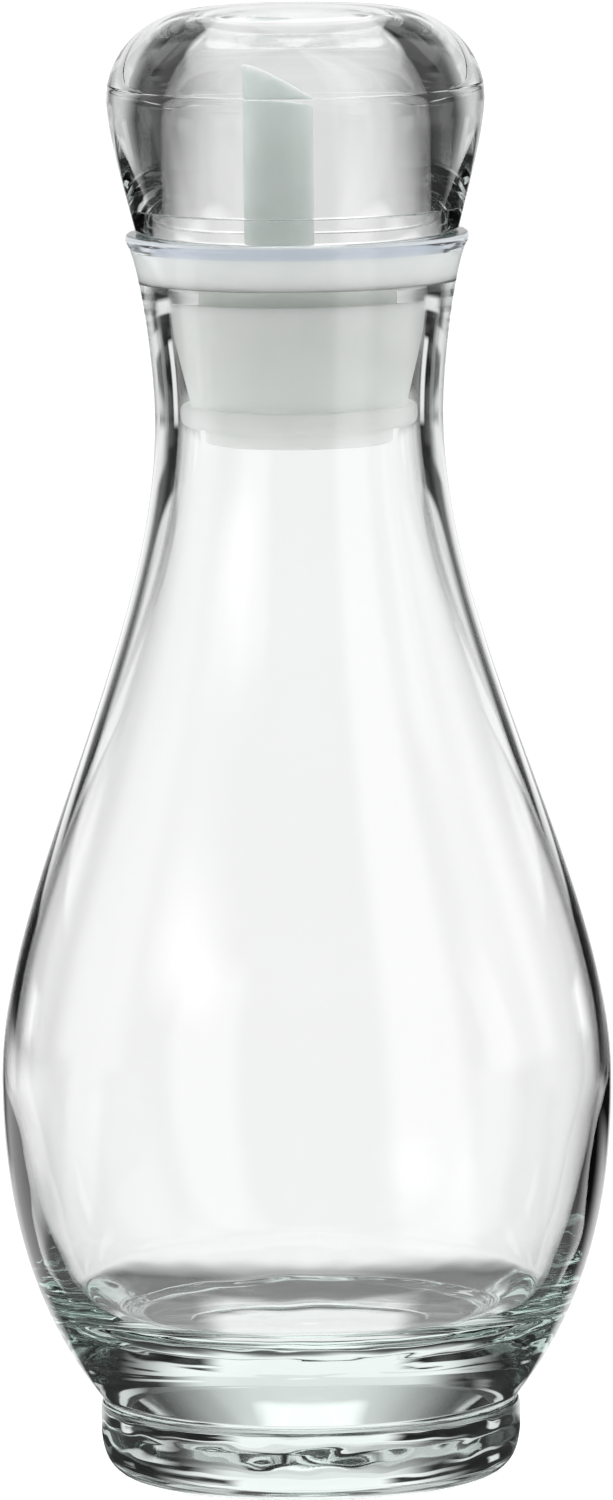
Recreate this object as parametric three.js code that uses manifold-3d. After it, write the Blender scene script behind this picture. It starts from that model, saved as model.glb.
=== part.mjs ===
// Oil cruet: a pear-shaped clear glass bottle on a heavy foot, a white plastic pourer pressed into
// its mouth, and a thick clear plastic cap that stands on the bottle's rim over the spout.
// Millimetres, +Z up. The origin is the centre of the foot, on the surface that the bottle stands on.
import * as THREE from "three";
import { mergeVertices } from "three/addons/utils/BufferGeometryUtils.js";
import Module from "manifold-3d";

// How finely the round pieces are faceted: facets round the axis, and the longest chord along a curve.
const TURN_STEPS = 48;
const SPOUT_STEPS = 24;
const CHORD = 8;
const FEWEST_CHORDS = 3;

// Bottle, outside. A handle is the length of a curve's straight lead-in at that point.
const BELLY_R = 45;
const BELLY_Z = 58.9;
const BELLY_HANDLE_DOWN = 25;
const BELLY_HANDLE_UP = 29.2;
const WAIST_R = 21.25;
const WAIST_Z = 157.1;
const WAIST_HANDLE_DOWN = 34;
const WAIST_HANDLE_UP = 7.1;
const RIM_R = 25.35;
const RIM_TOP_Z = 184.2;
const RIM_ROUND = 1;
const FLARE_HANDLE_R = 2.3;
const FLARE_HANDLE_Z = 3.9;

// Bottle, heel and foot. The standing ring lies between the recess and the contact radius.
const HEEL_R = 30.95;
const HEEL_Z = 11.9;
const HEEL_HANDLE_R = 6.5;
const HEEL_HANDLE_Z = 8.2;
const GROOVE_DEPTH = 0.7;
const GROOVE_Z = 11.3;
const FOOT_R = 31;
const FOOT_TOP_Z = 10.7;
const FOOT_SIDE_Z = 7.5;
const CONTACT_R = 25.3;
const RECESS_R = 20;
const RECESS_DEPTH = 0.8;

// Bottle, inside: the seat that takes the pourer's collar, the neck's bore, and the hollow, whose wall
// turns into its floor at the knee.
const SEAT_TOP_R = 21.7;
const SEAT_FOOT_R = 20.9;
const SEAT_Z = 177.6;
const MOUTH_CHAMFER = 0.4;
const BORE_TOP_R = 19;
const NECK_R = 17.8;
const NECK_HANDLE_UP = 8;
const NECK_HANDLE_DOWN = 31;
const HOLLOW_R = 43.35;
const HOLLOW_Z = 60;
const HOLLOW_HANDLE_UP = 28.5;
const HOLLOW_HANDLE_DOWN = 12;
const KNEE_R = 34;
const KNEE_Z = 26.3;
const KNEE_SLOPE = THREE.MathUtils.degToRad(30);
const KNEE_HANDLE_UP = 4;
const KNEE_HANDLE_DOWN = 3;
const FLOOR_Z = 23;
const FLOOR_HANDLE = 22;

// Pourer, in its own frame: z is 0 where the collar sits on the seat.
const SEAT_CLEARANCE = 0.3;
const COLLAR_TOP = 6.4;
const COLLAR_WALL = 2;
const WELL_FLOOR = 1.6;
const NOTCH_R = 14.5;
const PLUG_TOP = -2.4;
const PLUG_TOP_R = 18.6;
const PLUG_FOOT = -18.4;
const PLUG_FOOT_R = 15.8;
const PLUG_HANDLE_TOP = 5.6;
const PLUG_HANDLE_R = 1.2;
const PLUG_HANDLE_FOOT = 4.9;
const LIP_R = 17.45;
const LIP_TIP = -19.4;
const LIP_BEVEL = 0.3;
const LIP_FOOT = -21.5;
const NOSE_R = 13.75;
const NOSE_TOP = -22.7;
const NOSE_FOOT = -24.1;
const NOSE_CHAMFER = 0.6;
const HOLLOW_PLUG_R = 11.8;
const HOLLOW_PLUG_DRAFT = 1;
const HOLLOW_PLUG_TOP = -3.2;

// Spout: an upright tube, off the axis, cut at a slant that is highest at its pouring lip.
const SPOUT_R = 5.1;
const SPOUT_BORE_R = 3.9;
const SPOUT_OFFSET = 2.8;
const SPOUT_HEIGHT = 29;
const SPOUT_SLOPE = 0.45;
const POURER_TURN = THREE.MathUtils.degToRad(22.5);
const CUT_ALLOWANCE = 10;

// Cap, in its own frame: z is 0 at its lower edge.
const CAP_EDGE_R = 23.75;
const CAP_EDGE_HANDLE_R = 1.55;
const CAP_EDGE_HANDLE_Z = 6.3;
const CAP_R = 27.75;
const CAP_WIDEST_Z = 19.7;
const CAP_HANDLE_DOWN = 4.9;
const CAP_HANDLE_UP = 7.1;
const CAP_HEIGHT = 32.85;
const CAP_CROWN = 0.4;
const CAP_TOP_R = 15.2;
const CAP_TOP_HANDLE = 6.3;
const CAP_STEP_R = 21.3;
const CAP_STEP_Z = 4;
const CAP_STEP_ROUND = 0.45;
const CAVITY_R = 19.9;
const CAVITY_DRAFT = 0.15;
const CAVITY_SIDE_Z = 17;
const CAVITY_HANDLE_UP = 8.3;
const CAVITY_TOP_Z = 28.9;
const CAVITY_TOP_HANDLE = 13;

const wasm = await Module();
wasm.setup();

/** The points of one stretch of a profile, without its last: a straight one needs only its start. */
function stretchPoints(curve) {
  const chords = Math.max(FEWEST_CHORDS, Math.ceil(curve.getLength() / CHORD));
  return curve.getPoints(curve.isLineCurve ? 1 : chords).slice(0, -1);
}

/** Turns a profile of radius and height, drawn as a path, into a body of revolution about +Z. */
function turned(path) {
  const points = path.curves.flatMap(stretchPoints);
  points.push(path.currentPoint.clone());
  return new THREE.LatheGeometry(points, TURN_STEPS).rotateX(Math.PI / 2);
}

/** A closed geometry as a solid that can be joined and cut. */
function solidFrom(geometry) {
  const bare = geometry.clone();
  bare.deleteAttribute("normal");
  bare.deleteAttribute("uv");
  const merged = mergeVertices(bare, 1e-4);
  const mesh = new wasm.Mesh({
    numProp: 3,
    vertProperties: merged.attributes.position.array,
    triVerts: new Uint32Array(merged.index.array),
  });
  return new wasm.Manifold(mesh);
}

/** The faces of a solid as a geometry. */
function geometryFrom(solid) {
  const mesh = solid.getMesh();
  const geometry = new THREE.BufferGeometry();
  geometry.setAttribute("position", new THREE.BufferAttribute(mesh.vertProperties, 3));
  geometry.setIndex(new THREE.BufferAttribute(mesh.triVerts, 1));
  geometry.computeVertexNormals();
  return geometry;
}

/** An upright cylinder from one height to another. */
function column(radius, low, high) {
  return new THREE.CylinderGeometry(radius, radius, high - low, SPOUT_STEPS)
    .rotateX(Math.PI / 2)
    .translate(0, 0, (low + high) / 2);
}

/** Foot, heel, belly, waist and flared rim, up the outside. */
function bottleOutside(path) {
  path.quadraticCurveTo(RECESS_R, RECESS_DEPTH, RECESS_R, 0);
  path.lineTo(CONTACT_R, 0);
  path.quadraticCurveTo(FOOT_R, 0, FOOT_R, FOOT_SIDE_Z);
  path.lineTo(FOOT_R, FOOT_TOP_Z);
  path.lineTo(HEEL_R - GROOVE_DEPTH, GROOVE_Z);
  path.lineTo(HEEL_R, HEEL_Z);
  path.bezierCurveTo(
    HEEL_R + HEEL_HANDLE_R, HEEL_Z + HEEL_HANDLE_Z,
    BELLY_R, BELLY_Z - BELLY_HANDLE_DOWN,
    BELLY_R, BELLY_Z,
  );
  path.bezierCurveTo(
    BELLY_R, BELLY_Z + BELLY_HANDLE_UP,
    WAIST_R, WAIST_Z - WAIST_HANDLE_DOWN,
    WAIST_R, WAIST_Z,
  );
  const lipZ = RIM_TOP_Z - RIM_ROUND;
  path.bezierCurveTo(
    WAIST_R, WAIST_Z + WAIST_HANDLE_UP,
    RIM_R - FLARE_HANDLE_R, lipZ - FLARE_HANDLE_Z,
    RIM_R, lipZ,
  );
  path.quadraticCurveTo(RIM_R, RIM_TOP_Z, RIM_R - RIM_ROUND, RIM_TOP_Z);
}

/** Mouth, seat, bore and hollow, down the inside to the middle of the floor. */
function bottleInside(path) {
  path.lineTo(SEAT_TOP_R + MOUTH_CHAMFER, RIM_TOP_Z);
  path.lineTo(SEAT_TOP_R, RIM_TOP_Z - MOUTH_CHAMFER);
  path.lineTo(SEAT_FOOT_R, SEAT_Z);
  path.lineTo(BORE_TOP_R, SEAT_Z);
  path.bezierCurveTo(
    BORE_TOP_R, SEAT_Z - NECK_HANDLE_UP,
    NECK_R, WAIST_Z + NECK_HANDLE_UP,
    NECK_R, WAIST_Z,
  );
  path.bezierCurveTo(
    NECK_R, WAIST_Z - NECK_HANDLE_DOWN,
    HOLLOW_R, HOLLOW_Z + HOLLOW_HANDLE_UP,
    HOLLOW_R, HOLLOW_Z,
  );
  const run = Math.cos(KNEE_SLOPE);
  const rise = Math.sin(KNEE_SLOPE);
  path.bezierCurveTo(
    HOLLOW_R, HOLLOW_Z - HOLLOW_HANDLE_DOWN,
    KNEE_R + run * KNEE_HANDLE_UP, KNEE_Z + rise * KNEE_HANDLE_UP,
    KNEE_R, KNEE_Z,
  );
  path.bezierCurveTo(
    KNEE_R - run * KNEE_HANDLE_DOWN, KNEE_Z - rise * KNEE_HANDLE_DOWN,
    FLOOR_HANDLE, FLOOR_Z,
    0, FLOOR_Z,
  );
}

function bottle() {
  const path = new THREE.Path().moveTo(0, RECESS_DEPTH);
  bottleOutside(path);
  bottleInside(path);
  return turned(path);
}

/** Collar, notch, tapered plug, wiping lip and nose, with the drip well above and the hollow below. */
function pourerBody() {
  const collarFootR = SEAT_FOOT_R - SEAT_CLEARANCE;
  const collarTopR = SEAT_TOP_R - SEAT_CLEARANCE;
  const path = new THREE.Path().moveTo(0, HOLLOW_PLUG_TOP);
  path.lineTo(HOLLOW_PLUG_R - HOLLOW_PLUG_DRAFT, HOLLOW_PLUG_TOP);
  path.lineTo(HOLLOW_PLUG_R, NOSE_FOOT);
  path.lineTo(NOSE_R - NOSE_CHAMFER, NOSE_FOOT);
  path.lineTo(NOSE_R, NOSE_FOOT + NOSE_CHAMFER);
  path.lineTo(NOSE_R, NOSE_TOP);
  path.quadraticCurveTo(NOSE_R, LIP_FOOT, PLUG_FOOT_R, LIP_FOOT);
  path.quadraticCurveTo(LIP_R, LIP_FOOT, LIP_R, LIP_TIP);
  path.lineTo(LIP_R - LIP_BEVEL, PLUG_FOOT);
  path.lineTo(PLUG_FOOT_R, PLUG_FOOT);
  path.bezierCurveTo(
    PLUG_FOOT_R + PLUG_HANDLE_R, PLUG_FOOT + PLUG_HANDLE_FOOT,
    PLUG_TOP_R, PLUG_TOP - PLUG_HANDLE_TOP,
    PLUG_TOP_R, PLUG_TOP,
  );
  path.lineTo(NOTCH_R, PLUG_TOP);
  path.lineTo(NOTCH_R, 0);
  path.lineTo(collarFootR, 0);
  path.lineTo(collarTopR, COLLAR_TOP);
  path.lineTo(collarTopR - COLLAR_WALL, COLLAR_TOP);
  path.lineTo(collarFootR - COLLAR_WALL, WELL_FLOOR);
  path.lineTo(0, WELL_FLOOR);
  return turned(path);
}

/** The pourer in one piece: its body, and the slanted spout with the bore that runs right through. */
function pourer() {
  const tip = SPOUT_HEIGHT + CUT_ALLOWANCE;
  const tube = column(SPOUT_R, 0, tip).translate(-SPOUT_OFFSET, 0, 0);
  const bore = column(SPOUT_BORE_R, HOLLOW_PLUG_TOP - CUT_ALLOWANCE, tip).translate(-SPOUT_OFFSET, 0, 0);
  const block = 4 * SPOUT_R + CUT_ALLOWANCE;
  const aboveTheSlant = new THREE.BoxGeometry(block, block, block)
    .translate(0, 0, block / 2)
    .rotateY(Math.atan(SPOUT_SLOPE))
    .translate(-SPOUT_OFFSET, 0, SPOUT_HEIGHT);
  const spout = solidFrom(tube).subtract(solidFrom(aboveTheSlant));
  return geometryFrom(solidFrom(pourerBody()).add(spout).subtract(solidFrom(bore)));
}

/** Thick dome with a crowned top, and a domed cavity that opens through a wider step at the lower edge. */
function cap() {
  const path = new THREE.Path().moveTo(0, CAVITY_TOP_Z);
  path.bezierCurveTo(
    CAVITY_TOP_HANDLE, CAVITY_TOP_Z,
    CAVITY_R - CAVITY_DRAFT, CAVITY_SIDE_Z + CAVITY_HANDLE_UP,
    CAVITY_R - CAVITY_DRAFT, CAVITY_SIDE_Z,
  );
  path.lineTo(CAVITY_R, CAP_STEP_Z + CAP_STEP_ROUND);
  path.quadraticCurveTo(CAVITY_R, CAP_STEP_Z, CAVITY_R + CAP_STEP_ROUND, CAP_STEP_Z);
  path.lineTo(CAP_STEP_R, CAP_STEP_Z);
  path.lineTo(CAP_STEP_R, 0);
  path.lineTo(CAP_EDGE_R, 0);
  path.bezierCurveTo(
    CAP_EDGE_R + CAP_EDGE_HANDLE_R, CAP_EDGE_HANDLE_Z,
    CAP_R, CAP_WIDEST_Z - CAP_HANDLE_DOWN,
    CAP_R, CAP_WIDEST_Z,
  );
  const crownZ = CAP_HEIGHT - CAP_CROWN;
  const crownSlope = 2 * CAP_CROWN / CAP_TOP_R;
  path.bezierCurveTo(
    CAP_R, CAP_WIDEST_Z + CAP_HANDLE_UP,
    CAP_TOP_R + CAP_TOP_HANDLE, crownZ - crownSlope * CAP_TOP_HANDLE,
    CAP_TOP_R, crownZ,
  );
  path.quadraticCurveTo(CAP_TOP_R / 2, CAP_HEIGHT, 0, CAP_HEIGHT);
  return turned(path);
}

const glass = new THREE.MeshStandardMaterial({
  color: 0xe9f1ef, roughness: 0.02, metalness: 0, transparent: true, opacity: 0.35,
});
const clearPlastic = new THREE.MeshStandardMaterial({
  color: 0xf1f5f4, roughness: 0.04, metalness: 0, transparent: true, opacity: 0.35,
});
const whitePlastic = new THREE.MeshStandardMaterial({ color: 0xe6eae7, roughness: 0.45, metalness: 0 });

/** A named piece, standing at a height on the cruet's axis and turned about it. */
function piece(name, geometry, material, height = 0, turn = 0) {
  const mesh = new THREE.Mesh(geometry, material);
  mesh.name = name;
  mesh.position.z = height;
  mesh.rotation.z = turn;
  return mesh;
}

const cruet = new THREE.Group();
cruet.add(piece("bottle", bottle(), glass));
cruet.add(piece("pourer", pourer(), whitePlastic, SEAT_Z, POURER_TURN));
cruet.add(piece("cap", cap(), clearPlastic, RIM_TOP_Z));

export default cruet;
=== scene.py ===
"""Oil cruet: a clear glass bottle, a white pourer and a clear cap, lit as a studio product picture.

Metres, in the frame of the solid model: +Z up the bottle's axis, -Y towards the viewer.
"""
import math

import bpy
import numpy as np
from mathutils import Matrix, Vector, noise


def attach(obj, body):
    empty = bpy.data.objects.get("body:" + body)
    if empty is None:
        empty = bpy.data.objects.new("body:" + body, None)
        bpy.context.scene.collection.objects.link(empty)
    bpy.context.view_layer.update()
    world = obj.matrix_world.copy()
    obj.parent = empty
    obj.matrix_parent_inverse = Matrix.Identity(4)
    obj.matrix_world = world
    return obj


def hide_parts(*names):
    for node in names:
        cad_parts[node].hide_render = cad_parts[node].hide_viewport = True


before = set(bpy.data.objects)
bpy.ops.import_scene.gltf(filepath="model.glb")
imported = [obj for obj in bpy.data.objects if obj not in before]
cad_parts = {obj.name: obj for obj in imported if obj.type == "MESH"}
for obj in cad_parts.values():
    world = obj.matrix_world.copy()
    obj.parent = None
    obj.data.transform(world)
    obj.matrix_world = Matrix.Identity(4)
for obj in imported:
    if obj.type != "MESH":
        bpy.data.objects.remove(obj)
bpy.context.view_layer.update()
MM = 0.001

# How finely the pieces are turned: steps round the axis, and the longest chord along a curve.
TURN_STEPS = 256
CHORD = 1.2 * MM
FEWEST_CHORDS = 8
SHARP_ANGLE = math.radians(32)

# Bottle, outside, as the solid has it. A handle is the length of a curve's straight lead-in.
BELLY_R, BELLY_Z = 45 * MM, 58.9 * MM
BELLY_HANDLE_DOWN, BELLY_HANDLE_UP = 25 * MM, 29.2 * MM
WAIST_R, WAIST_Z = 21.25 * MM, 157.1 * MM
WAIST_HANDLE_DOWN, WAIST_HANDLE_UP = 34 * MM, 7.1 * MM
RIM_R, RIM_TOP_Z, RIM_ROUND = 25.35 * MM, 184.2 * MM, 1 * MM
FLARE_HANDLE_R, FLARE_HANDLE_Z = 2.3 * MM, 3.9 * MM

# Bottle, heel and foot
HEEL_R, HEEL_Z = 30.95 * MM, 11.9 * MM
HEEL_HANDLE_R, HEEL_HANDLE_Z = 6.5 * MM, 8.2 * MM
GROOVE_DEPTH, GROOVE_Z = 0.7 * MM, 11.3 * MM
FOOT_R, FOOT_TOP_Z, FOOT_SIDE_Z = 31 * MM, 10.7 * MM, 7.5 * MM
FOOT_ROUND = 1 * MM
CONTACT_R, RECESS_R, RECESS_DEPTH = 25.3 * MM, 20 * MM, 0.8 * MM

# Bottle, inside
SEAT_TOP_R, SEAT_FOOT_R, SEAT_Z = 21.7 * MM, 20.9 * MM, 177.6 * MM
MOUTH_CHAMFER = 0.4 * MM
BORE_TOP_R, NECK_R = 19 * MM, 17.8 * MM
NECK_HANDLE_UP, NECK_HANDLE_DOWN = 8 * MM, 31 * MM
HOLLOW_R, HOLLOW_Z = 43.35 * MM, 60 * MM
HOLLOW_HANDLE_UP, HOLLOW_HANDLE_DOWN = 28.5 * MM, 12 * MM
KNEE_R, KNEE_Z, KNEE_SLOPE = 34 * MM, 26.3 * MM, math.radians(30)
KNEE_HANDLE_UP, KNEE_HANDLE_DOWN = 4 * MM, 3 * MM
FLOOR_Z, FLOOR_HANDLE = 23 * MM, 22 * MM

# Unevenness of the thick glass at the bottom: depth, and the waves' breadth and height in millimetres
FLOOR_RIPPLE, FLOOR_RIPPLE_SIZE = 0.08 * MM, (5, 5)
FOOT_RIPPLE, FOOT_RIPPLE_SIZE = 0.05 * MM, (5, 2)

# Pourer, in its own frame: z is 0 where the collar sits on the seat. The soft collar touches the glass.
SEAT_TOUCH = 0.02 * MM
COLLAR_TOP, COLLAR_WALL, WELL_FLOOR = 6.4 * MM, 2 * MM, 1.6 * MM
NOTCH_R = 14.5 * MM
PLUG_TOP, PLUG_TOP_R = -2.4 * MM, 18.6 * MM
PLUG_FOOT, PLUG_FOOT_R = -18.4 * MM, 15.8 * MM
PLUG_HANDLE_TOP, PLUG_HANDLE_R, PLUG_HANDLE_FOOT = 5.6 * MM, 1.2 * MM, 4.9 * MM
LIP_R, LIP_TIP, LIP_BEVEL, LIP_FOOT = 17.45 * MM, -19.4 * MM, 0.3 * MM, -21.5 * MM
NOSE_R, NOSE_TOP, NOSE_FOOT, NOSE_CHAMFER = 13.75 * MM, -22.7 * MM, -24.1 * MM, 0.6 * MM
PLUG_HOLLOW_R, PLUG_HOLLOW_DRAFT, PLUG_HOLLOW_TOP = 11.8 * MM, 1 * MM, -3.2 * MM
SPOUT_R, SPOUT_BORE_R, SPOUT_OFFSET = 5.1 * MM, 3.9 * MM, 2.8 * MM
SPOUT_HEIGHT, SPOUT_SLOPE = 29 * MM, 0.45
SPOUT_STEPS, CUT_PAST_TOP, CUT_PAST_FOOT = 96, 10 * MM, 5 * MM
POURER_TURN = math.radians(22.5)

# Cap, in its own frame: z is 0 at its lower edge, a hair above the rim. The ridge is its mould line.
CAP_EDGE_R, CAP_EDGE_HANDLE_R, CAP_EDGE_HANDLE_Z = 23.75 * MM, 1.55 * MM, 6.3 * MM
CAP_EDGE_ROUND = 0.45 * MM
CAP_R, CAP_WIDEST_Z = 27.75 * MM, 19.7 * MM
CAP_HANDLE_DOWN, CAP_HANDLE_UP = 4.9 * MM, 7.1 * MM
CAP_HEIGHT, CAP_CROWN, CAP_TOP_R, CAP_TOP_HANDLE = 32.85 * MM, 0.4 * MM, 15.2 * MM, 6.3 * MM
CAP_STEP_R, CAP_STEP_Z, CAP_STEP_ROUND = 21.3 * MM, 4 * MM, 0.45 * MM
CAVITY_R, CAVITY_DRAFT, CAVITY_SIDE_Z = 19.9 * MM, 0.15 * MM, 17 * MM
CAVITY_HANDLE_UP, CAVITY_TOP_Z, CAVITY_TOP_HANDLE = 8.3 * MM, 28.9 * MM, 13 * MM
CAP_GAP = 0.12 * MM
RIDGE_Z, RIDGE_HALF, RIDGE_HEIGHT = 21.8 * MM, 0.2 * MM, 0.06 * MM

# Clear pieces: index of refraction, colour and density of absorption, roughness of smudges, depth of waves
GLASS = (1.52, (0.80, 0.95, 0.90), 8, 0.03, 0.01 * MM)
STYRENE = (1.58, (0.85, 0.93, 0.90), 6, 0.04, 0.01 * MM)
SMUDGE_SIZE, WAVE_SIZE = 9 * MM, 14 * MM
RIM_TINT, RIM_TINT_HEIGHTS = (0.84, 0.87, 0.97), (181.5 * MM, 183.4 * MM)

# Milky plastic: its tone in the plug, the painted shade that greys the spout inside the cap, the heights
# between which that shade comes in, its grain
PLUG_TONE, SPOUT_SHADE_TONE = (0.86, 0.88, 0.86), (0.58, 0.63, 0.61)
SPOUT_SHADE_HEIGHTS = (181 * MM, 187 * MM)
CLOUD_SIZE, CLOUD = 6 * MM, 0.08
GRAIN_SIZE, GRAIN_DEPTH, GRAIN_ROUGHNESS = 0.7 * MM, 0.02 * MM, (0.36, 0.5)
SCATTER_DEPTH = 4 * MM

# Floor and world
FLOOR_SIZE, FLOOR_TONE, FLOOR_GLOW = 60, 0.93, 0.35
WORLD_STRENGTH, WORLD_BEHIND, WORLD_THROUGH = 1.1, 0.55, 0.8

# The surround: radius and height of its profile, and the light on it. The table is dim round the foot and
# lighter further out, with a bright column under the foot, where the glass itself lets light through.
SURROUND = (
    (0.002, -0.0004), (0.35, -0.0004), (0.55, 0.03), (0.7, 0.14), (0.75, 0.3), (0.75, 1.0), (0.002, 1.6),
)
SURROUND_STEPS = 96
SHADE_LOW, SHADE_HIGH, SHADE_HEIGHTS = 0.012, 0.03, (0.06, 0.2)
TABLE_NEAR, TABLE_FAR, TABLE_SPAN = 0.03, 0.1, (0.03, 0.09, 0.13, 0.2)
TABLE_HEIGHTS = (0.01, 0.02)
PATCH_HALF, PATCH_SPAN, PATCH_LIGHT = (0.013, 0.02), (-0.034, -0.026, 0.018, 0.028), 0.95

# Strips of light. Each is a wedge: its heading in degrees, how far behind the axis its point lies, the
# distances along it and the heights at which it begins, is full, fades and is gone, the angles off it at
# which it is full and gone, and its level.
ALL_HEIGHTS = (-1, -0.9, 9, 10)
WALL = (0.4, 0.5, 9, 10)
STRIPS = (
    (90, 0.05, (0.036, 0.05, 0.2, 0.3), ALL_HEIGHTS, (25, 38), 1.05),
    (90, 0.55, (0.11, 0.2, 9, 10), (-1, -0.9, 0.1, 0.13), (6.6, 9.2), 1.05),
    (90, 0, WALL, (0.085, 0.1, 0.13, 0.148), (18, 40), 1.05),
    (90, 0, WALL, (0.1, 0.13, 0.22, 0.26), (15, 28), 0.9),
    (90, 0, WALL, (0.19, 0.23, 9, 10), (4, 38), 0.82),
    (90, 0, WALL, (0.33, 0.42, 9, 10), (7, 16), 1.2),
    (137, 0, WALL, (0.18, 0.2, 0.25, 0.29), (7, 20), 0.85),
    (43, 0, WALL, (0.18, 0.2, 0.25, 0.29), (7, 20), 0.85),
    (150, 0, WALL, (0.58, 0.7, 9, 10), (14, 24), 0.9),
    (30, 0, WALL, (0.58, 0.7, 9, 10), (14, 24), 0.9),
    (140, 0, WALL, (0.03, 0.05, 0.085, 0.1), (2, 5), 0.95),
    (40, 0, WALL, (0.03, 0.05, 0.085, 0.1), (2, 5), 0.95),
    (135, 0, (0.08, 0.13, 0.4, 0.5), (-1, -0.9, 0.02, 0.04), (12, 26), 0.85),
    (180, 0, (0.08, 0.14, 9, 10), ALL_HEIGHTS, (6, 12), 0.7),
    (180, 0, WALL, (0.035, 0.07, 9, 10), (10, 24), 0.7),
    (0, 0, WALL, (0.035, 0.07, 9, 10), (10, 24), 0.6),
    (315, 0, (0.07, 0.12, 9, 10), ALL_HEIGHTS, (10, 20), 0.9),
    (218, 0, WALL, (0.18, 0.36, 0.36, 0.56), (0, 26), 1.5),
)

# Camera: a long lens, a little above the cruet
PHOTO_H = 1500
FOCAL_PX = 16670
SENSOR_WIDTH, CLIP_END = 36, 100
CAMERA_OUT, CAMERA_UP = 2.434, 0.4267
CAMERA_PITCH, CAMERA_ROLL = math.radians(7.472), math.radians(-0.67)
AXIS_LEFT_PX = 3.5

# How often light may pass from surface to surface
BOUNCES, GLOSSY_BOUNCES = 32, 16


class Outline:
    """A profile of radius and height, drawn as a pen draws: lines and curves, each from the last point."""

    def __init__(self, r, z):
        self.points = [(r, z)]
        self.marks = {}

    def mark(self, name):
        """Notes the ring that the next point makes, counted from the first one off the axis."""
        self.marks[name] = len(self.points) - 1
        return self

    def line(self, r, z):
        self.points.append((r, z))
        return self

    def rise(self, z):
        """A straight upright line, in short chords."""
        r, low = self.points[-1]
        return self.curve((r, (low + z) / 2), (r, z))

    def curve(self, *controls):
        """A Bezier curve through one or two control points to the last point given."""
        ends = np.array([self.points[-1], *controls])
        length = np.linalg.norm(np.diff(ends, axis=0), axis=1).sum()
        steps = max(FEWEST_CHORDS, math.ceil(length / CHORD))
        for t in np.linspace(0, 1, steps + 1)[1:]:
            level = ends
            while len(level) > 1:
                level = level[:-1] * (1 - t) + level[1:] * t
            self.points.append(tuple(level[0]))
        return self

    def ridge(self, z, half, height):
        """A thin raised line across the last curve, which rises past the height z."""
        after = len(self.points)
        while self.points[after - 1][1] > z:
            after -= 1
        (r0, z0), (r1, z1) = self.points[after - 1], self.points[after]
        slope = (r1 - r0) / (z1 - z0)
        r = r0 + slope * (z - z0)
        foot, top = (r - slope * half, z - half), (r + slope * half, z + half)
        self.points[after:after] = [foot, (r + height, z), top]
        return self


def turned(name, outline, steps=TURN_STEPS):
    """A mesh object: the outline turned about +Z. Its first and last points lie on the axis."""
    ring = np.array(outline.points[1:-1])
    angle = np.linspace(0, 2 * math.pi, steps, endpoint=False)
    co = np.empty((len(ring), steps, 3))
    co[..., 0] = ring[:, :1] * np.cos(angle)
    co[..., 1] = ring[:, :1] * np.sin(angle)
    co[..., 2] = ring[:, 1:]
    first, last = len(ring) * steps, len(ring) * steps + 1
    ends = (0, 0, outline.points[0][1]), (0, 0, outline.points[-1][1])
    verts = [*map(tuple, co.reshape(-1, 3)), *ends]
    faces = []
    for j in range(steps):
        k = (j + 1) % steps
        faces.append((first, k, j))
        faces.append((last, first - steps + j, first - steps + k))
        for i in range(len(ring) - 1):
            a, b = i * steps, (i + 1) * steps
            faces.append((a + j, a + k, b + k, b + j))
    mesh = bpy.data.meshes.new(name)
    mesh.from_pydata(verts, [], faces)
    mesh.shade_smooth()
    mesh.set_sharp_from_angle(angle=SHARP_ANGLE)
    obj = bpy.data.objects.new(name, mesh)
    bpy.context.scene.collection.objects.link(obj)
    return obj


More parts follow.
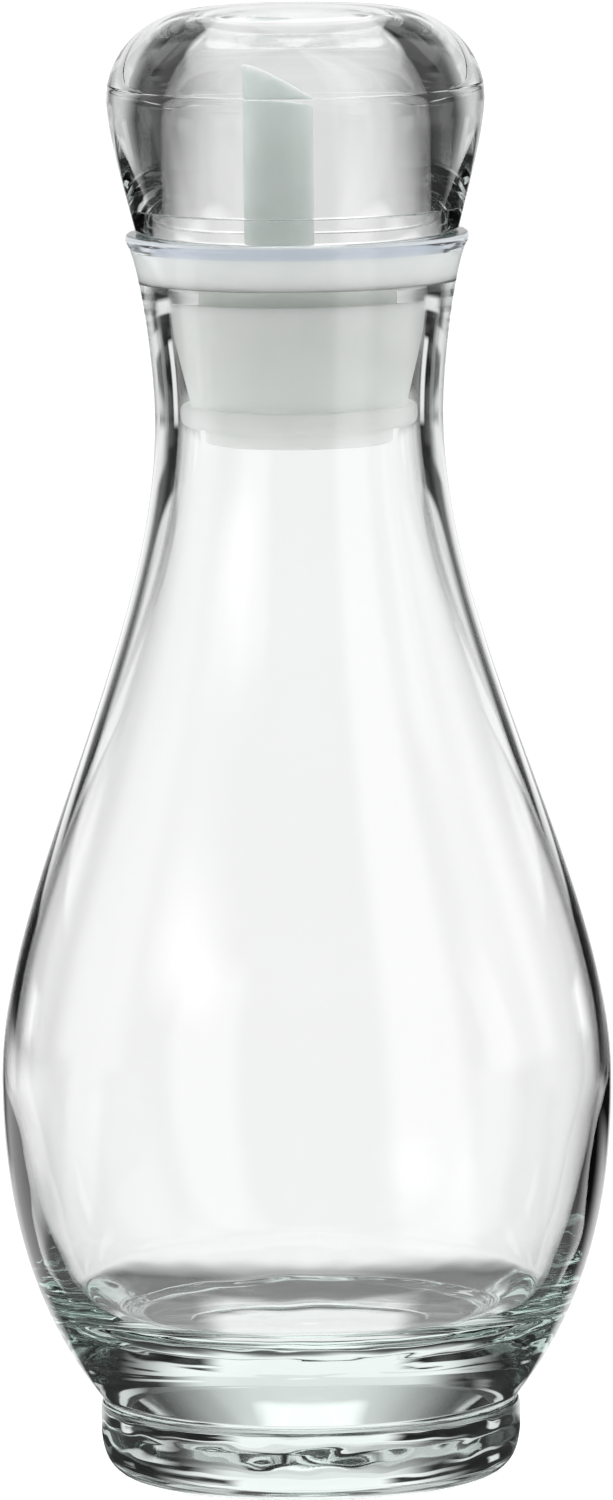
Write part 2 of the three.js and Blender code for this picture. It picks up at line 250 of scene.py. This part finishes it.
def bottle_outline():
    lip_z = RIM_TOP_Z - RIM_ROUND
    pen = Outline(0, RECESS_DEPTH)
    pen.curve((RECESS_R, RECESS_DEPTH), (RECESS_R, 0))
    pen.line(CONTACT_R, 0)
    pen.mark("foot").curve((FOOT_R, 0), (FOOT_R, FOOT_SIDE_Z))
    pen.rise(FOOT_TOP_Z - FOOT_ROUND).mark("groove")
    pen.curve((FOOT_R, GROOVE_Z), (HEEL_R - GROOVE_DEPTH, GROOVE_Z))
    pen.line(HEEL_R, HEEL_Z)
    pen.curve((HEEL_R + HEEL_HANDLE_R, HEEL_Z + HEEL_HANDLE_Z),
              (BELLY_R, BELLY_Z - BELLY_HANDLE_DOWN), (BELLY_R, BELLY_Z))
    pen.curve((BELLY_R, BELLY_Z + BELLY_HANDLE_UP),
              (WAIST_R, WAIST_Z - WAIST_HANDLE_DOWN), (WAIST_R, WAIST_Z))
    pen.curve((WAIST_R, WAIST_Z + WAIST_HANDLE_UP),
              (RIM_R - FLARE_HANDLE_R, lip_z - FLARE_HANDLE_Z), (RIM_R, lip_z))
    pen.curve((RIM_R, RIM_TOP_Z), (RIM_R - RIM_ROUND, RIM_TOP_Z))
    pen.line(SEAT_TOP_R + MOUTH_CHAMFER, RIM_TOP_Z)
    pen.line(SEAT_TOP_R, RIM_TOP_Z - MOUTH_CHAMFER)
    pen.line(SEAT_FOOT_R, SEAT_Z)
    pen.line(BORE_TOP_R, SEAT_Z)
    pen.curve((BORE_TOP_R, SEAT_Z - NECK_HANDLE_UP),
              (NECK_R, WAIST_Z + NECK_HANDLE_UP), (NECK_R, WAIST_Z))
    pen.curve((NECK_R, WAIST_Z - NECK_HANDLE_DOWN),
              (HOLLOW_R, HOLLOW_Z + HOLLOW_HANDLE_UP), (HOLLOW_R, HOLLOW_Z))
    run, rise = math.cos(KNEE_SLOPE), math.sin(KNEE_SLOPE)
    pen.mark("knee")
    pen.curve((HOLLOW_R, HOLLOW_Z - HOLLOW_HANDLE_DOWN),
              (KNEE_R + run * KNEE_HANDLE_UP, KNEE_Z + rise * KNEE_HANDLE_UP), (KNEE_R, KNEE_Z))
    pen.curve((KNEE_R - run * KNEE_HANDLE_DOWN, KNEE_Z - rise * KNEE_HANDLE_DOWN),
              (FLOOR_HANDLE, FLOOR_Z), (0, FLOOR_Z))
    return pen


def pourer_outline():
    foot_r, top_r = SEAT_FOOT_R + SEAT_TOUCH, SEAT_TOP_R + SEAT_TOUCH
    pen = Outline(0, PLUG_HOLLOW_TOP)
    pen.line(PLUG_HOLLOW_R - PLUG_HOLLOW_DRAFT, PLUG_HOLLOW_TOP)
    pen.line(PLUG_HOLLOW_R, NOSE_FOOT)
    pen.line(NOSE_R - NOSE_CHAMFER, NOSE_FOOT)
    pen.curve((NOSE_R, NOSE_FOOT), (NOSE_R, NOSE_FOOT + NOSE_CHAMFER))
    pen.line(NOSE_R, NOSE_TOP)
    pen.curve((NOSE_R, LIP_FOOT), (PLUG_FOOT_R, LIP_FOOT))
    pen.curve((LIP_R, LIP_FOOT), (LIP_R, LIP_TIP))
    pen.curve((LIP_R, PLUG_FOOT), (LIP_R - LIP_BEVEL, PLUG_FOOT))
    pen.line(PLUG_FOOT_R, PLUG_FOOT)
    pen.curve((PLUG_FOOT_R + PLUG_HANDLE_R, PLUG_FOOT + PLUG_HANDLE_FOOT),
              (PLUG_TOP_R, PLUG_TOP - PLUG_HANDLE_TOP), (PLUG_TOP_R, PLUG_TOP))
    pen.line(NOTCH_R, PLUG_TOP)
    pen.line(NOTCH_R, 0)
    pen.line(foot_r, 0)
    pen.line(top_r, COLLAR_TOP)
    pen.line(top_r - COLLAR_WALL, COLLAR_TOP)
    pen.line(foot_r - COLLAR_WALL, WELL_FLOOR)
    pen.line(0, WELL_FLOOR)
    return pen


def cap_outline():
    side_r = CAVITY_R - CAVITY_DRAFT
    pen = Outline(0, CAVITY_TOP_Z)
    pen.curve((CAVITY_TOP_HANDLE, CAVITY_TOP_Z),
              (side_r, CAVITY_SIDE_Z + CAVITY_HANDLE_UP), (side_r, CAVITY_SIDE_Z))
    pen.line(CAVITY_R, CAP_STEP_Z + CAP_STEP_ROUND)
    pen.curve((CAVITY_R, CAP_STEP_Z), (CAVITY_R + CAP_STEP_ROUND, CAP_STEP_Z))
    pen.line(CAP_STEP_R, CAP_STEP_Z)
    pen.line(CAP_STEP_R, 0)
    pen.line(CAP_EDGE_R - CAP_EDGE_ROUND, 0)
    pen.curve((CAP_EDGE_R, 0), (CAP_EDGE_R + CAP_EDGE_ROUND / 4, CAP_EDGE_ROUND))
    pen.curve((CAP_EDGE_R + CAP_EDGE_HANDLE_R, CAP_EDGE_HANDLE_Z),
              (CAP_R, CAP_WIDEST_Z - CAP_HANDLE_DOWN), (CAP_R, CAP_WIDEST_Z))
    crown_z = CAP_HEIGHT - CAP_CROWN
    crown_slope = 2 * CAP_CROWN / CAP_TOP_R
    pen.curve((CAP_R, CAP_WIDEST_Z + CAP_HANDLE_UP),
              (CAP_TOP_R + CAP_TOP_HANDLE, crown_z - crown_slope * CAP_TOP_HANDLE), (CAP_TOP_R, crown_z))
    pen.ridge(RIDGE_Z, RIDGE_HALF, RIDGE_HEIGHT)
    pen.curve((CAP_TOP_R / 2, CAP_HEIGHT), (0, CAP_HEIGHT))
    return pen


def boolean(obj, other, operation):
    """Joins or cuts obj by another mesh object, which is then removed."""
    mod = obj.modifiers.new(operation, "BOOLEAN")
    mod.operation, mod.object, mod.solver = operation, other, "EXACT"
    bpy.context.view_layer.objects.active = obj
    bpy.ops.object.modifier_apply(modifier=mod.name)
    bpy.data.objects.remove(other)


def tube(name, radius, low, high):
    """A closed upright column about the spout's axis."""
    pen = Outline(0, low).line(radius, low).line(radius, high).line(0, high)
    column = turned(name, pen, steps=SPOUT_STEPS)
    column.data.transform(Matrix.Translation((-SPOUT_OFFSET, 0, 0)))
    return column


def make_pourer():
    body = turned("white_pourer", pourer_outline())
    spout = tube("spout", SPOUT_R, 0, SPOUT_HEIGHT + CUT_PAST_TOP)
    for v in spout.data.vertices:
        if v.co.z > SPOUT_HEIGHT / 2:
            v.co.z = SPOUT_HEIGHT - SPOUT_SLOPE * (v.co.x + SPOUT_OFFSET)
    bore = tube("bore", SPOUT_BORE_R, PLUG_HOLLOW_TOP - CUT_PAST_FOOT, SPOUT_HEIGHT + CUT_PAST_TOP)
    boolean(body, spout, "UNION")
    boolean(body, bore, "DIFFERENCE")
    body.data.shade_smooth()
    body.data.set_sharp_from_angle(angle=SHARP_ANGLE)
    body.data.transform(Matrix.Translation((0, 0, SEAT_Z)) @ Matrix.Rotation(POURER_TURN, 4, "Z"))
    return body


def ripple(mesh, first_ring, last_ring, size, depth, up):
    """Moves some rings of a turned mesh by smooth noise: up and down, or out from the axis."""
    for v in mesh.vertices[first_ring * TURN_STEPS:last_ring * TURN_STEPS]:
        x, y, z = v.co / MM
        push = depth * noise.noise(Vector((x / size[0], y / size[0], z / size[1])))
        if up:
            v.co.z += push
        else:
            r = math.hypot(x, y)
            v.co.x += push * x / r
            v.co.y += push * y / r


def make_bottle():
    outline = bottle_outline()
    bottle = turned("glass_bottle", outline)
    rings, marks = len(outline.points) - 2, outline.marks
    ripple(bottle.data, marks["knee"], rings, FLOOR_RIPPLE_SIZE, FLOOR_RIPPLE, up=True)
    ripple(bottle.data, marks["foot"], marks["groove"], FOOT_RIPPLE_SIZE, FOOT_RIPPLE, up=False)
    return bottle


def make_cap():
    cap = turned("clear_cap", cap_outline())
    cap.data.transform(Matrix.Translation((0, 0, RIM_TOP_Z + CAP_GAP)))
    return cap


def new_material(name):
    material = bpy.data.materials.new(name)
    material.use_nodes = True
    nodes, links = material.node_tree.nodes, material.node_tree.links
    return material, nodes, links, nodes["Principled BSDF"], nodes["Material Output"]


def math_node(nodes, links, operation, *values):
    """A math node fed by sockets or numbers; gives its output socket."""
    node = nodes.new("ShaderNodeMath")
    node.operation = operation
    for socket, value in zip(node.inputs, values):
        if isinstance(value, (int, float)):
            socket.default_value = value
        else:
            links.new(value, socket)
    return node.outputs[0]


def fade_node(nodes, links, value, low, high, at_low, at_high):
    """A smooth step of a value from one level to another."""
    fade = nodes.new("ShaderNodeMapRange")
    fade.interpolation_type = "SMOOTHSTEP"
    for name, number in (("From Min", low), ("From Max", high), ("To Min", at_low), ("To Max", at_high)):
        fade.inputs[name].default_value = number
    links.new(value, fade.inputs["Value"])
    return fade.outputs[0]


def noise_node(nodes, links, size, detail):
    """Smooth noise in the piece's own space, its waves about size metres long; gives its value socket."""
    place = nodes.new("ShaderNodeTexCoord")
    scale = nodes.new("ShaderNodeMapping")
    scale.inputs["Scale"].default_value = [1 / size] * 3
    links.new(place.outputs["Object"], scale.inputs["Vector"])
    texture = nodes.new("ShaderNodeTexNoise")
    texture.inputs["Scale"].default_value = 1
    texture.inputs["Detail"].default_value = detail
    links.new(scale.outputs[0], texture.inputs["Vector"])
    return texture.outputs["Fac"]


def bump_node(nodes, links, height, distance):
    """Relief of the given depth from a height socket; gives its normal socket."""
    bump = nodes.new("ShaderNodeBump")
    bump.inputs["Distance"].default_value = distance
    bump.inputs["Strength"].default_value = 1
    links.new(height, bump.inputs["Height"])
    return bump.outputs[0]


def rim_tint(material):
    """A faint lilac in the bottle's rim."""
    nodes, links = material.node_tree.nodes, material.node_tree.links
    place = nodes.new("ShaderNodeTexCoord")
    split = nodes.new("ShaderNodeSeparateXYZ")
    links.new(place.outputs["Object"], split.inputs[0])
    tint = nodes.new("ShaderNodeMix")
    tint.data_type = "RGBA"
    tint.inputs["A"].default_value = (1, 1, 1, 1)
    tint.inputs["B"].default_value = (*RIM_TINT, 1)
    links.new(fade_node(nodes, links, split.outputs["Z"], *RIM_TINT_HEIGHTS, 0, 1), tint.inputs["Factor"])
    links.new(tint.outputs["Result"], nodes["Principled BSDF"].inputs["Base Color"])
    return material


def glass_material(name, ior, tint, density, smudge, waves):
    """Clear and polished, with faint smudges in its gloss and slow waves in its surface."""
    material, nodes, links, shader, out = new_material(name)
    shader.inputs["Base Color"].default_value = (1, 1, 1, 1)
    shader.inputs["Transmission Weight"].default_value = 1
    shader.inputs["IOR"].default_value = ior
    blotches = noise_node(nodes, links, SMUDGE_SIZE, 4)
    links.new(fade_node(nodes, links, blotches, 0.52, 0.75, 0, smudge), shader.inputs["Roughness"])
    ripples = noise_node(nodes, links, WAVE_SIZE, 1)
    links.new(bump_node(nodes, links, ripples, waves), shader.inputs["Normal"])
    absorb = nodes.new("ShaderNodeVolumeAbsorption")
    absorb.inputs["Color"].default_value = (*tint, 1)
    absorb.inputs["Density"].default_value = density
    links.new(absorb.outputs[0], out.inputs["Volume"])
    return material


def pourer_material():
    """Milky plastic, with painted shade: the spout inside the cap is coloured greyer than the collar and
    the plug.
    """
    material, nodes, links, shader, _ = new_material("milky_plastic")
    place = nodes.new("ShaderNodeTexCoord")
    split = nodes.new("ShaderNodeSeparateXYZ")
    links.new(place.outputs["Object"], split.inputs[0])
    # Painted shade: between 181 and 187 mm up, where the spout rises into the cap, its colour turns grey.
    spout_shade = fade_node(nodes, links, split.outputs["Z"], *SPOUT_SHADE_HEIGHTS, 0, 1)
    cloud = fade_node(nodes, links, noise_node(nodes, links, CLOUD_SIZE, 3), 0.3, 0.7, -CLOUD, CLOUD)
    tone = nodes.new("ShaderNodeMix")
    tone.data_type = "RGBA"
    tone.inputs["A"].default_value = (*PLUG_TONE, 1)
    tone.inputs["B"].default_value = (*SPOUT_SHADE_TONE, 1)
    links.new(math_node(nodes, links, "ADD", spout_shade, cloud), tone.inputs["Factor"])
    links.new(tone.outputs["Result"], shader.inputs["Base Color"])
    grain = noise_node(nodes, links, GRAIN_SIZE, 2)
    links.new(fade_node(nodes, links, grain, 0.3, 0.7, *GRAIN_ROUGHNESS), shader.inputs["Roughness"])
    links.new(bump_node(nodes, links, grain, GRAIN_DEPTH), shader.inputs["Normal"])
    shader.inputs["Subsurface Weight"].default_value = 1
    shader.inputs["Subsurface Radius"].default_value = (1, 1, 1)
    shader.inputs["Subsurface Scale"].default_value = SCATTER_DEPTH
    return material


pieces = {
    "bottle": (make_bottle(), "glass", rim_tint(glass_material("clear_glass", *GLASS))),
    "pourer": (make_pourer(), "white_plastic", pourer_material()),
    "cap": (make_cap(), "clear_plastic", glass_material("clear_styrene", *STYRENE)),
}
for node, (piece, slot, material) in pieces.items():
    piece.data.materials.clear()
    piece.data.materials.append(material)
    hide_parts(node)
    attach(piece, "root")


def make_floor():
    """Pale paper that the eye sees, and the clear pieces do not."""
    bpy.ops.mesh.primitive_plane_add(size=FLOOR_SIZE)
    floor = bpy.context.object
    floor.name = "floor"
    material, _, _, shader, _ = new_material("floor_paper")
    shader.inputs["Base Color"].default_value = (FLOOR_TONE, FLOOR_TONE, FLOOR_TONE, 1)
    shader.inputs["Roughness"].default_value = 0.9
    shader.inputs["Specular IOR Level"].default_value = 0
    shader.inputs["Emission Color"].default_value = (1, 1, 1, 1)
    shader.inputs["Emission Strength"].default_value = FLOOR_GLOW
    floor.data.materials.append(material)
    floor.visible_transmission = False
    floor.visible_glossy = False


def make_surround():
    """A bowl round the set that only rays through or off the pieces see: light in strips, dark between."""
    steps = SURROUND_STEPS
    verts, faces = [], []
    for radius, height in SURROUND:
        for k in range(steps):
            a = 2 * math.pi * k / steps
            verts.append((radius * math.cos(a), radius * math.sin(a), height))
    for i in range(len(SURROUND) - 1):
        for k in range(steps):
            j = (k + 1) % steps
            faces.append((i * steps + k, i * steps + j, (i + 1) * steps + j, (i + 1) * steps + k))
    mesh = bpy.data.meshes.new("surround")
    mesh.from_pydata(verts, [], faces)
    bowl = bpy.data.objects.new("surround", mesh)
    bpy.context.scene.collection.objects.link(bowl)
    mesh.materials.append(surround_material())
    bowl.visible_camera = False
    bowl.visible_diffuse = False
    bowl.visible_shadow = False


def window(nodes, links, value, begin, full, fading, gone):
    """1 between two limits, fading to 0 outside them."""
    return math_node(nodes, links, "MULTIPLY", fade_node(nodes, links, value, begin, full, 0, 1),
                     fade_node(nodes, links, value, fading, gone, 1, 0))


def strip_light(nodes, links, place, heading, behind, span, heights, spread, level):
    """The strip's light on it, 0 off it."""
    x, y, z = place
    c, s = math.cos(math.radians(heading)), math.sin(math.radians(heading))
    along = math_node(nodes, links, "ADD", math_node(nodes, links, "MULTIPLY", x, c),
                      math_node(nodes, links, "MULTIPLY", y, s))
    across = math_node(nodes, links, "ADD", math_node(nodes, links, "MULTIPLY", y, c),
                       math_node(nodes, links, "MULTIPLY", x, -s))
    off = math_node(nodes, links, "ARCTAN2", math_node(nodes, links, "ABSOLUTE", across),
                    math_node(nodes, links, "ADD", along, behind))
    light = fade_node(nodes, links, off, math.radians(spread[0]), math.radians(spread[1]), level, 0)
    light = math_node(nodes, links, "MULTIPLY", light, window(nodes, links, along, *span))
    return math_node(nodes, links, "MULTIPLY", light, window(nodes, links, z, *heights))


def table_light(nodes, links, place):
    """The table's light round the foot, and the column of light under it."""
    x, y, z = place
    square = math_node(nodes, links, "ADD", math_node(nodes, links, "MULTIPLY", x, x),
                       math_node(nodes, links, "MULTIPLY", y, y))
    radius = math_node(nodes, links, "SQRT", square)
    near, far, fading, gone = TABLE_SPAN
    table = math_node(nodes, links, "MULTIPLY",
                      fade_node(nodes, links, radius, near, far, TABLE_NEAR, TABLE_FAR),
                      fade_node(nodes, links, radius, fading, gone, 1, 0))
    across = fade_node(nodes, links, math_node(nodes, links, "ABSOLUTE", x), *PATCH_HALF, PATCH_LIGHT, 0)
    patch = math_node(nodes, links, "MULTIPLY", across, window(nodes, links, y, *PATCH_SPAN))
    low = fade_node(nodes, links, z, *TABLE_HEIGHTS, 1, 0)
    return math_node(nodes, links, "MULTIPLY", low, math_node(nodes, links, "MAXIMUM", table, patch))


def surround_material():
    """Light of its own, and clear to rays that have met a matt surface."""
    material, nodes, links, shader, out = new_material("surround")
    nodes.remove(shader)
    spot = nodes.new("ShaderNodeTexCoord")
    split = nodes.new("ShaderNodeSeparateXYZ")
    links.new(spot.outputs["Object"], split.inputs[0])
    place = split.outputs["X"], split.outputs["Y"], split.outputs["Z"]
    shade = math_node(nodes, links, "MAXIMUM", table_light(nodes, links, place),
                      fade_node(nodes, links, place[2], *SHADE_HEIGHTS, SHADE_LOW, SHADE_HIGH))
    for strip in STRIPS:
        shade = math_node(nodes, links, "MAXIMUM", strip_light(nodes, links, place, *strip), shade)
    glow = nodes.new("ShaderNodeEmission")
    links.new(shade, glow.inputs["Color"])
    clear = nodes.new("ShaderNodeBsdfTransparent")
    path = nodes.new("ShaderNodeLightPath")
    mix = nodes.new("ShaderNodeMixShader")
    links.new(math_node(nodes, links, "LESS_THAN", path.outputs["Diffuse Depth"], 0.5), mix.inputs[0])
    links.new(clear.outputs[0], mix.inputs[1])
    links.new(glow.outputs[0], mix.inputs[2])
    links.new(mix.outputs[0], out.inputs["Surface"])
    material.cycles.emission_sampling = "NONE"
    return material


def make_world():
    """White to the eye. As a light it is stronger from behind, and for what stands inside the glass."""
    world = bpy.data.worlds.new("studio")
    bpy.context.scene.world = world
    world.use_nodes = True
    nodes, links = world.node_tree.nodes, world.node_tree.links
    back = nodes["Background"]
    place = nodes.new("ShaderNodeTexCoord")
    split = nodes.new("ShaderNodeSeparateXYZ")
    links.new(place.outputs["Generated"], split.inputs[0])
    path = nodes.new("ShaderNodeLightPath")
    behind = math_node(nodes, links, "MULTIPLY_ADD", split.outputs["Y"], WORLD_BEHIND, 1.0)
    through = math_node(nodes, links, "MINIMUM", path.outputs["Transmission Depth"], 1.0)
    gain = math_node(nodes, links, "MULTIPLY_ADD", through, WORLD_THROUGH, 1.0)
    lit = math_node(nodes, links, "MULTIPLY", behind, gain)
    seen = math_node(nodes, links, "MINIMUM", path.outputs["Diffuse Depth"], 1.0)
    extra = math_node(nodes, links, "MULTIPLY", seen, math_node(nodes, links, "SUBTRACT", lit, 1.0))
    strength = math_node(nodes, links, "MULTIPLY_ADD", extra, WORLD_STRENGTH, WORLD_STRENGTH)
    back.inputs["Color"].default_value = (1, 1, 1, 1)
    links.new(strength, back.inputs["Strength"])


def make_camera():
    data = bpy.data.cameras.new("camera")
    data.sensor_width = SENSOR_WIDTH
    data.lens = FOCAL_PX / PHOTO_H * data.sensor_width
    data.clip_end = CLIP_END
    camera = bpy.data.objects.new("camera", data)
    bpy.context.scene.collection.objects.link(camera)
    yaw = -math.atan(AXIS_LEFT_PX / FOCAL_PX)
    turn = (Matrix.Rotation(yaw, 4, "Z") @ Matrix.Rotation(math.pi / 2 - CAMERA_PITCH, 4, "X")
            @ Matrix.Rotation(CAMERA_ROLL, 4, "Z"))
    camera.matrix_world = Matrix.Translation((0, -CAMERA_OUT, CAMERA_UP)) @ turn
    bpy.context.scene.camera = camera


make_floor()
make_surround()
make_world()
make_camera()
bpy.context.scene.view_settings.view_transform = "Standard"
bpy.context.scene.cycles.max_bounces = BOUNCES
bpy.context.scene.cycles.transmission_bounces = BOUNCES
bpy.context.scene.cycles.glossy_bounces = GLOSSY_BOUNCES
